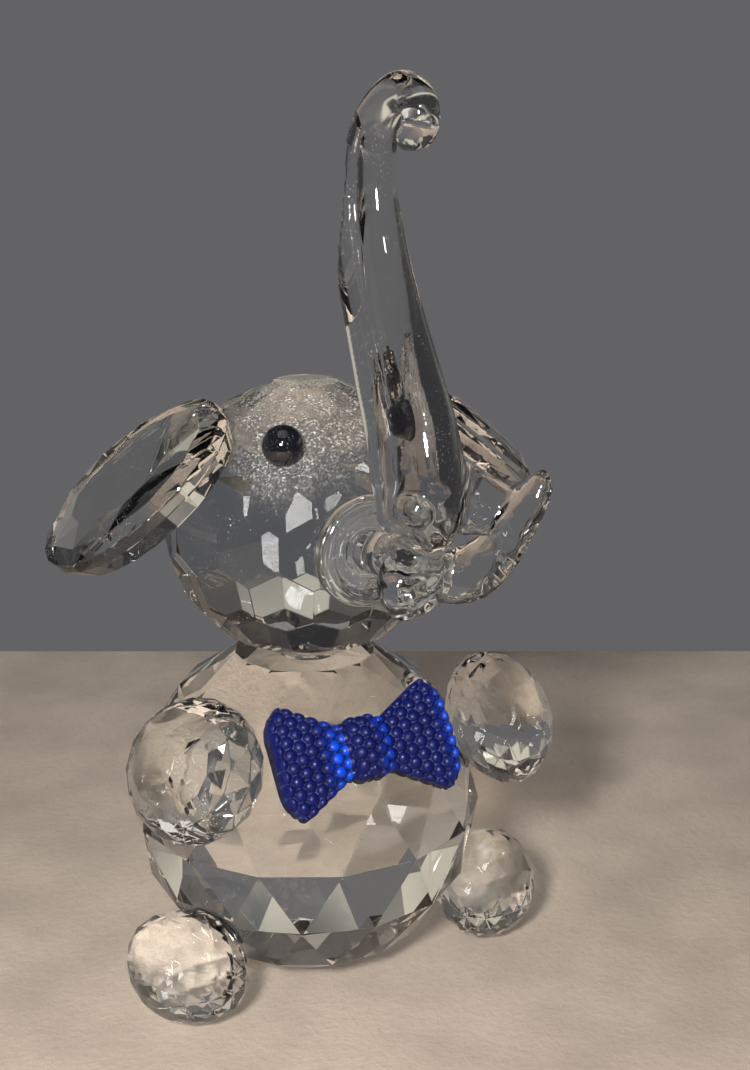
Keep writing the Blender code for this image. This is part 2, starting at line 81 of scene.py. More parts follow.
class Slot(Enum):
    """Material slots of the record."""

    CRYSTAL = "cut_crystal"
    DRAWN = "lampworked_glass"
    BLACK = "black_glass"
    BLUE = "blue_resin"
    GLUE = "clear_adhesive"


class Bond(Enum):
    """The glued joints, by the node of their pad."""

    HEAD = "head_bond"
    TRUNK = "trunk_bond"
    RIGHT_EAR = "right_ear_bond"
    LEFT_EAR = "left_ear_bond"
    RIGHT_EYE = "right_eye_bond"
    LEFT_EYE = "left_eye_bond"
    RIGHT_ARM = "right_arm_bond"
    LEFT_ARM = "left_arm_bond"
    RIGHT_FOOT = "right_foot_bond"
    LEFT_FOOT = "left_foot_bond"
    BOW = "bow_bond"

    @property
    def on_body(self) -> bool:
        """Whether the joint is on the body ball."""
        return "arm" in self.value or "foot" in self.value or self in (Bond.BOW, Bond.HEAD)


# ---- shader building


class Tree:
    """A small helper that adds nodes to a material or a world and joins them."""

    def __init__(self, owner: Material | bpy.types.World) -> None:
        """Empties the owner's node tree.

        Args:
            owner: The material or world.
        """
        owner.use_nodes = True
        self.owner = owner
        self.nodes = owner.node_tree.nodes
        self.links = owner.node_tree.links
        self.nodes.clear()

    def add(self, kind: str, values: dict | None = None, **settings: object) -> Node:
        """Adds a node.

        Args:
            kind: The node's type name, without its first word.
            values: Socket name or number to a plain value or to the output socket that feeds it.
            settings: Properties of the node.

        Returns:
            The new node.
        """
        node = self.nodes.new(f"ShaderNode{kind}")
        for key, value in settings.items():
            setattr(node, key, value)
        for key, value in (values or {}).items():
            self.set(node.inputs[key], value)
        return node

    def set(self, socket: Socket, value: object) -> None:
        """Gives an input a value.

        Args:
            socket: The input socket.
            value: A number, a colour, a vector or the output socket that feeds it.
        """
        if isinstance(value, Socket):
            self.links.new(value, socket)
        elif socket.type == "RGBA":
            socket.default_value = (*value, 1.0)
        else:
            socket.default_value = value

    def maths(self, operation: str, *values: object) -> Socket:
        """The result of a Math node on numbers or sockets."""
        return self.add("Math", dict(enumerate(values)), operation=operation).outputs[0]

    def ramp(self, value: Socket, low: float, high: float, start: float = 0.0, end: float = 1.0) -> Socket:
        """A smooth step of a value from low..high to start..end."""
        values = {"Value": value, "From Min": low, "From Max": high, "To Min": start, "To Max": end}
        return self.add("MapRange", values, interpolation_type="SMOOTHSTEP").outputs["Result"]

    def noise(self, place: Socket, feature: float, detail: float = 2.0, rough: float = 0.5) -> Socket:
        """Noise whose features are about this long in metres."""
        values = {"Vector": place, "Scale": 1 / feature, "Detail": detail, "Roughness": rough}
        return self.add("TexNoise", values).outputs["Fac"]

    def mix(self, share: object, first: Node, second: Node) -> Node:
        """A Mix Shader of two shaders: the second at a share of 1."""
        return self.add("MixShader", {0: share, 1: first.outputs[0], 2: second.outputs[0]})

    def mix_colour(self, share: object, first: object, second: object) -> Socket:
        """A colour mix: the second at a share of 1."""
        return self.add("Mix", {0: share, 6: first, 7: second}, data_type="RGBA").outputs[2]

    def along(self, way: Socket, axis: Colour) -> Socket:
        """How far a direction goes along an axis: their dot product."""
        return self.add("VectorMath", {0: way, 1: axis}, operation="DOT_PRODUCT").outputs["Value"]

    def near(self, patch: "HazePatch", place: Socket, core: float) -> Socket:
        """How near a place is to a patch's middle: 1 within its core, 0 past its reach."""
        far = self.add("VectorMath", {0: place, 1: patch.middle}, operation="DISTANCE").outputs["Value"]
        return self.ramp(far, core * patch.reach, patch.reach, 1.0, 0.0)

    def bump(self, height: Socket, distance: float, strength: float = 1.0) -> Socket:
        """The normal of a height in metres times a distance."""
        values = {"Height": height, "Strength": strength, "Distance": distance}
        return self.add("Bump", values).outputs[0]

    def object_place(self) -> Socket:
        """The Object coordinates."""
        return self.add("TexCoord").outputs["Object"]

    def principled(self, colour: object, roughness: object, more: dict | None = None) -> Node:
        """A Principled shader of a colour and a roughness, with more of its sockets set."""
        return self.add("BsdfPrincipled", {"Base Color": colour, "Roughness": roughness, **(more or {})})

    def finish(self, shader: Node, output: str = "OutputMaterial") -> Material | bpy.types.World:
        """Joins the shader to the output and gives back the owner."""
        self.add(output, {"Surface": shader.outputs[0]})
        return self.owner


@dataclass(frozen=True)
class Cloud:
    """A pattern of soft noise: its size, its finer layers, and the step that is made of it."""

    size: float
    detail: float
    step: Step
    rough: float = 0.5

    def build(self, tree: Tree, place: Socket) -> Socket:
        """The pattern as a socket."""
        return tree.ramp(tree.noise(place, self.size, self.detail, self.rough), *self.step)


@dataclass(frozen=True)
class HazePatch:
    """A patch on glass: its middle, its reach and its strength."""

    middle: Colour
    reach: float
    strength: float


@dataclass(frozen=True)
class ClearGlass:
    """Polished clear glass with faint smears, fine dust, and glued seats that light crosses unbent."""

    name: str
    ior: float = 1.54
    tint: Colour = (0.985, 0.985, 0.97)
    smears: Cloud = Cloud(7 * MM, 3.0, (0.45, 0.75, 0.004, 0.03))
    dust: float = 0.30
    specks: Cloud = Cloud(0.22 * MM, 1.0, (0.66, 0.74))
    drift: Cloud = Cloud(4 * MM, 2.0, (0.48, 0.70))
    dust_colour: Colour = (0.72, 0.71, 0.68)
    dust_roughness: float = 0.8
    # film of old glue, painted dark: partly painted shade, darker than the dust so that it does not light up
    film_and_shade_colour: Colour = (0.085, 0.078, 0.070)
    film_roughness: float = 0.6
    film_core: float = 0.30
    film_cloud: Cloud = Cloud(1.1 * MM, 5.0, (0.36, 0.66, 0.30, 1.0), 0.75)
    film_grain: Cloud = Cloud(0.25 * MM, 2.0, (0.45, 0.75))
    shade: Colour = (0.36, 0.37, 0.38)
    seat_rim: Step = (0.97, 1.0, 1.0, 0.0)
    patches: tuple[HazePatch, ...] = ()
    swirl: HazePatch | None = None
    swirl_core: float = 0.55
    swirl_size: float = 3 * MM

    def dust_share(self, tree: Tree, place: Socket) -> Socket:
        """How much dust lies at each place: fine specks where a slow noise is high.

        Args:
            tree: The material.
            place: Object coordinates.

        Returns:
            A socket from 0 to 1.
        """
        specks, drift = (cloud.build(tree, place) for cloud in (self.specks, self.drift))
        return tree.maths("MULTIPLY", tree.maths("MULTIPLY", specks, drift), self.dust)

    def film_and_shade_share(self, tree: Tree, place: Socket) -> Socket:
        """How thick the film of old glue is, whose dark colour is partly painted shade: the strongest of cloudy
        patches that fade out at their reach.

        Args:
            tree: The material.
            place: Object coordinates.

        Returns:
            A socket from 0 to 1.
        """
        cloud = self.film_cloud.build(tree, place)
        share = 0.0
        for patch in self.patches:
            film = tree.maths("MULTIPLY", tree.near(patch, place, self.film_core), cloud)
            share = tree.maths("MAXIMUM", share, tree.maths("MULTIPLY", film, patch.strength))
        return share

    def build(self) -> Material:
        """Makes the material: glass, then a dark film of old glue that is partly painted shade, dust, clear
        seats and the shade that it casts.

        Returns:
            The material.
        """
        tree = Tree(bpy.data.materials.new(self.name))
        place = tree.object_place()
        clear = {"IOR": self.ior, "Transmission Weight": 1.0}
        surface = tree.principled(self.tint, self.smears.build(tree, place), clear)
        if self.swirl:
            near = tree.near(self.swirl, place, self.swirl_core)
            wave = tree.maths("MULTIPLY", tree.noise(place, self.swirl_size, 1.0), near)
            tree.set(surface.inputs["Normal"], tree.bump(wave, self.swirl.strength))
        if self.patches:
            # the film's dark colour is old glue and partly painted shade
            grain = self.film_grain.build(tree, place)
            colour = tree.mix_colour(grain, self.film_and_shade_colour, self.dust_colour)
            film = tree.principled(colour, self.film_roughness)
            surface = tree.mix(self.film_and_shade_share(tree, place), surface, film)
        dust = tree.principled(self.dust_colour, self.dust_roughness)
        surface = tree.mix(self.dust_share(tree, place), surface, dust)
        seat = tree.add("UVMap", uv_map=SEAT_MAP).outputs["UV"]
        reach = tree.add("VectorMath", {0: seat}, operation="LENGTH").outputs["Value"]
        glued = tree.ramp(reach, *self.seat_rim)
        surface = tree.mix(glued, surface, tree.add("BsdfTransparent"))
        lamp_ray = tree.add("LightPath").outputs["Is Shadow Ray"]
        return tree.finish(tree.mix(lamp_ray, surface, tree.add("BsdfTransparent", {"Color": self.shade})))


@dataclass(frozen=True)
class BlackGlass:
    """Glossy black glass with a few dust specks."""

    name: str = "black_glass_eye"
    colour: Colour = (0.004, 0.004, 0.006)
    dust_colour: Colour = (0.35, 0.36, 0.38)
    specks: Cloud = Cloud(0.12 * MM, 1.0, (0.70, 0.76, 0.0, 0.6))
    smears: Cloud = Cloud(1.2 * MM, 3.0, (0.4, 0.8, 0.03, 0.16))
    ior: float = 1.5
    coat: float = 0.6
    coat_roughness: float = 0.02

    def build(self) -> Material:
        """Makes the material.

        Returns:
            The material.
        """
        tree = Tree(bpy.data.materials.new(self.name))
        place = tree.object_place()
        colour = tree.mix_colour(self.specks.build(tree, place), self.colour, self.dust_colour)
        gloss = {"IOR": self.ior, "Coat Weight": self.coat, "Coat Roughness": self.coat_roughness}
        return tree.finish(tree.principled(colour, self.smears.build(tree, place), gloss))


@dataclass(frozen=True)
class BlueResin:
    """Deep blue moulded resin: dusty between the pebbles, with painted shade in the gaps below the pebble tops,
    and a painted highlight of bright blue where it turns to the left side.
    """

    name: str = "blue_pebbled_resin"
    deep: Colour = (0.0015, 0.002, 0.030)
    # top colour: pebble tops painted lighter than the gaps between them, so the gaps hold painted shade
    top: Colour = (0.002, 0.004, 0.060)
    # painted highlight: the bright blue painted where the bow turns left
    painted_highlight: Colour = (0.0, 0.045, 0.50)
    dust: Colour = (0.028, 0.042, 0.150)
    gloss: float = 0.22
    lit_top_step: Step = (0.15, 0.8)
    lit_side_step: Step = (0.15, 0.95)
    lit_step: Step = (0.35, 0.95, 0.15, 1.0)
    away_step: Step = (0.0, 0.5, 1.0, 0.2)
    gap_step: Step = (0.05, 0.60, 1.0, 0.0)
    lit_patches: Cloud = Cloud(3.2 * MM, 2.0, (0.35, 0.65, 0.35, 1.0))
    dust_patches: Cloud = Cloud(2.5 * MM, 2.0, (0.35, 0.62, 0.15, 0.85))
    polish: Cloud = Cloud(0.5 * MM, 3.0, (0.3, 0.7, 0.30, 0.55))
    grain_size: float = 0.18 * MM
    grain_height: float = 0.05 * MM
    grain_strength: float = 0.15

    def build(self) -> Material:
        """Makes the material: a deep colour with pebble tops painted lighter than the gaps as painted shade, a
        painted highlight on the flanks that turn left, and dust low between the pebbles.

        Returns:
            The material.
        """
        tree = Tree(bpy.data.materials.new(self.name))
        place = tree.object_place()
        height = tree.add("Attribute", attribute_name="pebble").outputs["Fac"]
        # 'turned' is where the bow turns left: the mask of the painted highlight
        turned = tree.add("Attribute", attribute_name="turned").outputs["Fac"]
        # painted shade: the gaps between the pebbles are darker than their tops
        colour = tree.mix_colour(tree.ramp(height, *self.lit_top_step), self.deep, self.top)
        # painted highlight: bright blue in patches on the pebble tops of the sides that turn left
        patches = self.lit_patches.build(tree, place)
        lit = tree.maths("MULTIPLY", tree.ramp(turned, *self.lit_side_step), patches)
        lit = tree.maths("MULTIPLY", lit, tree.ramp(height, *self.lit_step))
        colour = tree.mix_colour(lit, colour, self.painted_highlight)
        away = tree.ramp(turned, *self.away_step)
        gaps = tree.maths("MULTIPLY", tree.ramp(height, *self.gap_step), away)
        dusty = tree.maths("MULTIPLY", gaps, self.dust_patches.build(tree, place))
        colour = tree.mix_colour(dusty, colour, self.dust)
        grain = tree.noise(place, self.grain_size, 2.0)
        normal = tree.bump(grain, self.grain_height, self.grain_strength)
        more = {"Normal": normal, "Specular IOR Level": self.gloss}
        return tree.finish(tree.principled(colour, self.polish.build(tree, place), more))


@dataclass(frozen=True)
class ClearGlue:
    """Cured clear adhesive: invisible where it wets both stones, with a few tiny bubbles and a faint film."""

    name: str = "clear_cured_glue"
    film: Colour = (0.80, 0.80, 0.76)
    film_roughness: float = 0.3
    bubble_gap: float = 0.8 * MM
    bubble_step: Step = (0.10, 0.16, 0.35, 0.03)

    def build(self) -> Material:
        """Makes the material.

        Returns:
            The material.
        """
        tree = Tree(bpy.data.materials.new(self.name))
        cells = {"Vector": tree.object_place(), "Scale": 1 / self.bubble_gap}
        bubbles = tree.add("TexVoronoi", cells).outputs["Distance"]
        film = tree.principled(self.film, self.film_roughness)
        return tree.finish(tree.mix(tree.ramp(bubbles, *self.bubble_step), tree.add("BsdfTransparent"), film))


@dataclass(frozen=True)
class PlainCloth:
    """Plain pale table cloth with a fine soft weave."""

    name: str = "pale_cloth"
    colour: Colour = (0.40, 0.325, 0.262)
    shadow: Colour = (0.31, 0.25, 0.20)
    drift: Cloud = Cloud(14 * MM, 3.0, (0.3, 0.75))
    pitch: float = 1.1 * MM
    thread_step: Step = (0.50, 0.75, 0.0, 0.5)
    thread_height: float = 0.35 * MM
    thread_strength: float = 0.6
    roughness: float = 0.9
    sheen: float = 0.2

    def build(self) -> Material:
        """Makes the material.

        Returns:
            The material.
        """
        tree = Tree(bpy.data.materials.new(self.name))
        place = tree.object_place()
        colour = tree.mix_colour(self.drift.build(tree, place), self.colour, self.shadow)
        thread = tree.noise(place, self.pitch, 3.0, 0.6)
        colour = tree.mix_colour(tree.ramp(thread, *self.thread_step), colour, self.shadow)
        weave = tree.bump(thread, self.thread_height, self.thread_strength)
        more = {"Normal": weave, "Sheen Weight": self.sheen}
        return tree.finish(tree.principled(colour, self.roughness, more))


# ---- meshes and frames


@dataclass(frozen=True)
class Seat:
    """A ground flat under a glue pad: the pad's middle, the outward axis and the pad's radius."""

    middle: Floats
    axis: Floats
    radius: float

    @classmethod
    def of(cls, bond: Bond) -> "Seat":
        """Reads a seat off its glue pad: the pad's thinnest direction is the axis.

        Args:
            bond: The joint.

        Returns:
            The seat, with its axis pointing away from the ball that it is ground on.
        """
        points = node_points(bond.value)
        middle = (points.max(0) + points.min(0)) / 2 if bond is Bond.HEAD else points.mean(0)
        _, _, directions = np.linalg.svd(points - middle, full_matrices=False)
        axis = directions[2]
        radius = float(np.linalg.norm(np.cross(points - middle, axis), axis=1).max())
        low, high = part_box("body_ball" if bond.on_body else "head_ball")
        outward = middle - np.array((low + high) / 2)
        return cls(middle, axis if axis @ outward > 0 else -axis, radius)

    def frame(self, roll: float = 0.0) -> tuple[Floats, Floats, Floats]:
        """Unit axes on the seat: across it, up its slope and outwards.

        Args:
            roll: Turn about the outward axis, in degrees.

        Returns:
            The three axes.
        """
        across = np.cross(SIDEWAYS if abs(self.axis[2]) > UPRIGHT else UP, self.axis)
        across /= np.linalg.norm(across)
        slope = np.cross(self.axis, across)
        turn = math.radians(roll)
        turned = across * math.cos(turn) + slope * math.sin(turn)
        return turned, np.cross(self.axis, turned), self.axis


def read_array(items: bpy.types.bpy_prop_collection, key: str, kind: type, width: int = 1) -> npt.NDArray:
    """Reads one value, or a few, of every item of a mesh.

    Args:
        items: The points, corners or faces.
        key: The value's name.
        kind: The type of number.
        width: How many numbers it is.

    Returns:
        An array, with a row per item where the value has several numbers.
    """
    values = np.empty(len(items) * width, kind)
    items.foreach_get(key, values)
    return values.reshape(-1, width) if width > 1 else values


def node_points(node: str) -> Floats:
    """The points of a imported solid, in metres."""
    return read_array(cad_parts[node].data.vertices, "co", float, 3)


def new_piece(name: str, mesh: Mesh, material: Material, smooth: bool) -> Object:
    """Puts a mesh in the scene as a piece at the origin.

    Args:
        name: The piece's name.
        mesh: Its mesh, already in place.
        material: Its finish.
        smooth: Whether its faces are shaded smooth.

    Returns:
        The piece.
    """
    mesh.materials.append(material)
    mesh.polygons.foreach_set("use_smooth", np.full(len(mesh.polygons), smooth))
    piece = bpy.data.objects.new(name, mesh)
    bpy.context.scene.collection.objects.link(piece)
    return piece


def hand_over(piece: Object, node: str, slot: Slot) -> Object:
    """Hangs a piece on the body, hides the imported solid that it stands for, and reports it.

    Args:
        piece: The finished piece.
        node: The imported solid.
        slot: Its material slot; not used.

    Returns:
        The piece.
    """
    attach(piece, BODY)
    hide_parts(node)
    LOG.info("%s: %d faces for %s", piece.name, len(piece.data.polygons), node)
    return piece


def grid_faces(rows: int, columns: int, closed: bool) -> Ints:
    """Quads between neighbouring points of a grid; a closed grid also joins its last column to its first.

    Args:
        rows: Points up the grid.
        columns: Points across the grid.
        closed: Whether the columns close.

    Returns:
        An array of four point numbers per face.
    """
    row = np.arange(rows - 1)[:, None]
    column = np.arange(columns if closed else columns - 1)[None, :]
    after = (column + 1) % columns
    low, high = row * columns, (row + 1) * columns
    quads = (low + column, low + after, high + after, high + column)
    return np.stack(np.broadcast_arrays(*quads), axis=-1).reshape(-1, 4)


def mesh_from(name: str, points: Floats, faces: Ints) -> Mesh:
    """Makes a mesh of quads from whole arrays.

    Args:
        name: The mesh's name.
        points: Its points, in metres.
        faces: Four point numbers per face.

    Returns:
        The mesh.
    """
    mesh = bpy.data.meshes.new(name)
    mesh.vertices.add(len(points))
    mesh.vertices.foreach_set("co", points.astype(np.float32).ravel())
    mesh.loops.add(faces.size)
    mesh.loops.foreach_set("vertex_index", faces.astype(np.int32).ravel())
    mesh.polygons.add(len(faces))
    mesh.polygons.foreach_set("loop_start", np.arange(0, faces.size, faces.shape[1], dtype=np.int32))
    mesh.update(calc_edges=True)
    mesh.validate()
    return mesh


def map_seats(mesh: Mesh, seats: list[Seat], depth: float = 0.45 * MM) -> None:
    """Writes the seat map: on a glued flat, the place over the pad's radius; far off everywhere else.

    Args:
        mesh: The stone's mesh, with whole flats as faces.
        seats: The seats on it.
        depth: How near a face's middle must be to the pad's plane.
    """
    layer = mesh.uv_layers.new(name=SEAT_MAP)
    points = read_array(mesh.vertices, "co", float, 3)
    corners = read_array(mesh.loops, "vertex_index", np.int32)
    totals = read_array(mesh.polygons, "loop_total", np.int32)
    normals, middles = (read_array(mesh.polygons, key, float, 3) for key in ("normal", "center"))
    places = np.full((len(corners), 2), OFF_SEAT)
    for seat in seats:
        across, slope, axis = seat.frame()
        flat = (np.abs(normals @ axis) > PARALLEL) & (np.abs((middles - seat.middle) @ axis) < depth)
        chosen = np.repeat(flat, totals)
        offset = points[corners[chosen]] - seat.middle
        places[chosen] = np.stack([offset @ across, offset @ slope], axis=1) / seat.radius
    layer.data.foreach_set("uv", places.astype(np.float32).ravel())


# ---- cut stones


@dataclass
class CutStone:
    """A faceted ball or stone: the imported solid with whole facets, eased edges and its glued flats marked."""

    node: str
    finish: Material
    bonds: tuple[Bond, ...]
    edge: float = 0.07 * MM
    flat_angle: float = math.radians(0.6)
    sharp_angle: float = math.radians(4.0)

    def build(self) -> Object:
        """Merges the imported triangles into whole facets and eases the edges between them.

        Returns:
            The finished stone.
        """
        shape = bmesh.new()
        shape.from_mesh(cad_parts[self.node].data)
        bmesh.ops.remove_doubles(shape, verts=shape.verts, dist=WELD)
        bmesh.ops.dissolve_limit(shape, angle_limit=self.flat_angle, verts=shape.verts, edges=shape.edges)
        for layer in list(shape.loops.layers.uv.values()):
            shape.loops.layers.uv.remove(layer)
        mesh = bpy.data.meshes.new(f"{self.node}_cut")
        shape.to_mesh(mesh)
        shape.free()
        map_seats(mesh, [Seat.of(bond) for bond in self.bonds])
        piece = new_piece(f"{self.node}_cut", mesh, self.finish, smooth=False)
        ease = piece.modifiers.new("eased_edges", "BEVEL")
        ease.width = self.edge
        ease.segments = 1
        ease.limit_method = "ANGLE"
        ease.angle_limit = self.sharp_angle
        return hand_over(piece, self.node, Slot.CRYSTAL)


# ---- drawn trunk


@dataclass(frozen=True)
class Ribbon:
    """A flat strip of glass along a route: rows of aside, ahead, up, half width and half thickness in mm."""

    rows: tuple[tuple[float, ...], ...]
    width_axis: Colour
    strands: int = 7
    steps: int = 14


def smooth_rows(rows: npt.ArrayLike, count: int) -> Floats:
    """Catmull-Rom curve through rows: a cubic per span, its slopes half the neighbours' difference.

    Args:
        rows: The rows to pass through.
        count: How many rows to return.

    Returns:
        The rows of the curve.
    """
    known = np.asarray(rows, float)
    padded = np.vstack([2 * known[0] - known[1], known, 2 * known[-1] - known[-2]])
    along = np.linspace(0, len(known) - 1, count)
    start = np.minimum(along.astype(int), len(known) - 2)
    t = (along - start)[:, None]
    a, b, c, d = (padded[start + i] for i in range(4))
    return 0.5 * (2 * b + (c - a) * t + (2 * a - 5 * b + 4 * c - d) * t**2 + (3 * b - a - 3 * c + d) * t**3)


def chain_distance(points: Floats, route: Floats, radii: Floats) -> Floats:
    """Distance to a chain of rods: for each span, to the nearest point on it, less the radius there.

    Args:
        points: Where to measure.
        route: The rod's middle line.
        radii: Its radius at each point of the line.

    Returns:
        The least distance over the spans, negative inside.
    """
    best = np.full(len(points), np.inf)
    for start, end, thick, thin in zip(route[:-1], route[1:], radii[:-1], radii[1:]):
        span = end - start
        offset = points - start
        share = np.clip(offset @ span / max(span @ span, TINY), 0, 1)
        away = offset - share[:, None] * span
        best = np.minimum(best, np.sqrt(np.einsum("ij,ij->i", away, away)) - (thick + share * (thin - thick)))
    return best


def unit_rows(rows: Floats) -> Floats:
    """Each row over its own length."""
    return rows / np.linalg.norm(rows, axis=1)[:, None]


def soft_join(first: Floats, second: Floats, fillet: float) -> Floats:
    """Union of two distances: the lesser, less a parabola where they differ by under the fillet."""
    overlap = np.maximum(fillet - np.abs(first - second), 0) / fillet
    return np.minimum(first, second) - overlap**2 * fillet / 4


@dataclass
class DrawnTrunk:
    """Hand-drawn glass trunk: collar, stem, rod with a fused rib, curled tip, two lips, their web, a bead.

    All sizes are in mm. A place is a step aside to the left, a step in front of the head ball, and a
    height over the head ball's middle. A rod row is ahead, up, the rod's radius and the rib's radius.
    """

    finish: Material
    node: str = "trunk"
    head_radius: float = 15.7
    seat_reach: float = 14.667
    turn: float = 4.0
    pitch: float = 0.19
    rod_rows: tuple[tuple[float, ...], ...] = (
        (9.9, 5.6, 2.8, 2.6),
        (10.5, 10.0, 3.3, 3.3),
        (9.4, 14.4, 3.2, 3.2),
        (7.0, 19.4, 2.9, 3.0),
        (4.3, 24.8, 2.6, 2.7),
        (1.8, 30.0, 2.4, 2.4),
        (0.3, 35.0, 2.2, 2.1),
        (-0.1, 39.6, 2.1, 1.7),
        (0.8, 43.4, 2.0, 1.0),
        (2.9, 45.7, 2.0, 0.4),
        (5.6, 46.1, 2.0, 0.2),
        (7.6, 44.7, 2.0, 0.2),
        (7.6, 42.8, 1.8, 0.2),
        (5.8, 42.1, 1.3, 0.2),
    )
    rib_back: float = 3.4
    rib_aside: float = -1.4
    bead_place: Colour = (-2.2, 11.2, 7.8)
    bead_radius: float = 2.1
    stem_bend: Colour = (-0.5, 4.8, 1.2)
    stem_end: Colour = (0.0, 8.7, 5.6)
    stem_radius: float = 2.4
    collar_radius: float = 6.1
    collar_length: float = 2.2
    collar_rise: float = 0.2
    collar_edge: float = 0.70
    collar_plate: float = 1.60
    collar_fillet: float = 0.5
    ring_share: float = 0.80
    ring_height: float = 1.35
    ring_radius: float = 1.05
    ribbons: tuple[Ribbon, ...] = (
        Ribbon(
            (
                (0.2, 8.9, 4.8, 2.4, 2.0),
                (-0.2, 9.3, 2.8, 3.0, 2.2),
                (-1.0, 8.9, 0.6, 3.4, 2.2),
                (-2.0, 9.1, -1.4, 3.2, 2.1),
                (-2.7, 9.6, -2.8, 1.7, 1.3),
            ),
            (0.90, -0.44, 0.0),
        ),
        Ribbon(
            (
                (-0.2, 8.8, 2.2, 1.6, 1.8),
                (0.8, 9.2, 0.6, 2.6, 1.8),
                (2.4, 10.6, 0.0, 2.9, 1.7),
                (4.0, 12.4, 1.0, 3.0, 1.7),
                (5.5, 14.0, 3.2, 2.7, 1.6),
                (7.0, 15.4, 6.4, 2.1, 1.5),
                (8.3, 16.3, 9.4, 1.5, 1.3),
                (8.7, 16.3, 10.7, 0.7, 0.7),
            ),
            (0.25, 0.25, 1.0),
            steps=18,
        ),
        Ribbon(
            (
                (0.6, 10.7, 9.2, 3.6, 1.2),
                (3.6, 12.7, 7.8, 3.4, 0.9),
                (6.4, 14.6, 7.2, 2.2, 0.9),
            ),
            (0.25, 0.25, 1.0),
            strands=15,
            steps=7,
        ),
    )
    route_steps: int = 120
    stem_steps: int = 12
    seam_fillet: float = 2.0
    seam_groove: float = 0.36
    seam_span: Pair = (17.0, 42.5)
    seam_route: float = 0.6
    seam_fade: float = 0.15
    strand_fillet: float = 0.25
    strand_oval: float = 0.75
    bead_fillet: float = 0.25
    polish_loss: float = 0.17
    fuse_fillet: float = 0.9
    margin: float = 1.2
    seat_depth: float = 0.3
    seat: Seat = field(init=False)

    def __post_init__(self) -> None:
        """Finds the collar's seat."""
        self.seat = Seat.of(Bond.TRUNK)

    def axes(self) -> tuple[Floats, Floats]:
        """Unit directions aside to the left and forward in the trunk's own plane."""
        across, along = math.cos(math.radians(self.turn)), math.sin(math.radians(self.turn))
        return np.array((across, along, 0.0)), np.array((along, -across, 0.0))

    def places(self, steps: npt.ArrayLike) -> Floats:
        """Turns steps from the head ball into points.

        Args:
            steps: Rows of aside, ahead and up, in mm.

        Returns:
            The points, in mm.
        """
        steps = np.atleast_2d(np.asarray(steps, float))
        left, forward = self.axes()
        middle = self.seat.middle / MM - self.seat.axis * self.seat_reach
        ahead = (self.head_radius + steps[:, 1])[:, None] * forward
        return middle + steps[:, :1] * left + ahead + steps[:, 2:3] * np.array(UP)

    def rod_and_rib(self, points: Floats) -> Floats:
        """Distance to the rod and the rib fused behind it, less a shallow groove along their seam.

        The groove runs where the two rods would cut each other, half a gap from both, and fades out as
        the root of a sine.

        Args:
            points: Places, in mm.

        Returns:
            The distance in mm, negative inside.
        """
        rows = smooth_rows(self.rod_rows, self.route_steps)
        left, _ = self.axes()
        route = self.places(np.column_stack([np.zeros(len(rows)), rows[:, :2]]))
        along = unit_rows(np.gradient(route, axis=0))
        front = np.cross(np.broadcast_to(left, along.shape), along)
        share = np.clip(rows[:, 3] / rows[:, 2], 0, 1)[:, None]
        rib = route + left * self.rib_aside * share - front * self.rib_back * share
        rod_distance = chain_distance(points, route, rows[:, 2])
        fused = soft_join(rod_distance, chain_distance(points, rib, rows[:, 3]), self.seam_fillet)
        gap = rib - route
        half_gap = np.linalg.norm(gap, axis=1) / 2
        aside = np.cross(along, gap)
        aside *= -np.sign(aside @ left)[:, None] / np.maximum(np.linalg.norm(aside, axis=1), TINY)[:, None]
        mean_radius = (rows[:, 2] + rows[:, 3]) / 2
        rise = np.sqrt(np.maximum(mean_radius**2 - half_gap**2, 0)) + self.seam_fillet / 4
        low, high = self.seam_span
        rising = np.arange(len(rows)) < len(rows) * self.seam_route
        seam = ((route + rib) / 2 + aside * rise[:, None])[(rows[:, 1] > low) & (rows[:, 1] < high) & rising]
        taper = np.sin(np.linspace(self.seam_fade, math.pi - self.seam_fade, len(seam))) ** 0.5
        return np.maximum(fused, -chain_distance(points, seam, self.seam_groove * taper))

    def collar(self, points: Floats) -> Floats:
        """Distance to the collar: a disc with a rounded edge, and a ring standing on its front.

        Args:
            points: Places, in mm.

        Returns:
            The distance in mm, negative inside.
        """
        offset = points - self.seat.middle / MM
        height = offset @ self.seat.axis - self.collar_rise
        across = np.linalg.norm(offset - np.outer(offset @ self.seat.axis, self.seat.axis), axis=1)
        out = across - (self.collar_radius - self.collar_edge)
        over = np.abs(height - self.collar_plate / 2) - (self.collar_plate / 2 - self.collar_edge)
        outside = np.sqrt(np.maximum(out, 0) ** 2 + np.maximum(over, 0) ** 2)
        disc = np.minimum(np.maximum(out, over), 0) + outside - self.collar_edge
        ring_middle = self.ring_share * self.collar_radius
        ring = np.hypot(across - ring_middle, height - self.ring_height) - self.ring_radius
        return np.maximum(soft_join(disc, ring, self.collar_fillet), -height)

    def ribbon(self, points: Floats, ribbon: Ribbon) -> Floats:
        """Distance to a flat strip: strands side by side, the outer ones thinner, so its section is an oval.

        Args:
            points: Places, in mm.
            ribbon: The strip.

        Returns:
            The distance in mm, negative inside.
        """
        rows = smooth_rows(ribbon.rows, ribbon.steps)
        route = self.places(rows[:, :3])
        along = unit_rows(np.gradient(route, axis=0))
        thick = unit_rows(np.cross(np.broadcast_to(ribbon.width_axis, along.shape), along))
        wide = np.cross(along, thick)
        best = None
        for share in np.linspace(-1, 1, ribbon.strands):
            strand = route + wide * (np.maximum(rows[:, 3] - rows[:, 4] / 2, 0) * share)[:, None]
            radii = rows[:, 4] * math.sqrt(1 - self.strand_oval * share**2)
            distance = chain_distance(points, strand, radii)
            best = distance if best is None else soft_join(best, distance, self.strand_fillet)
        return best

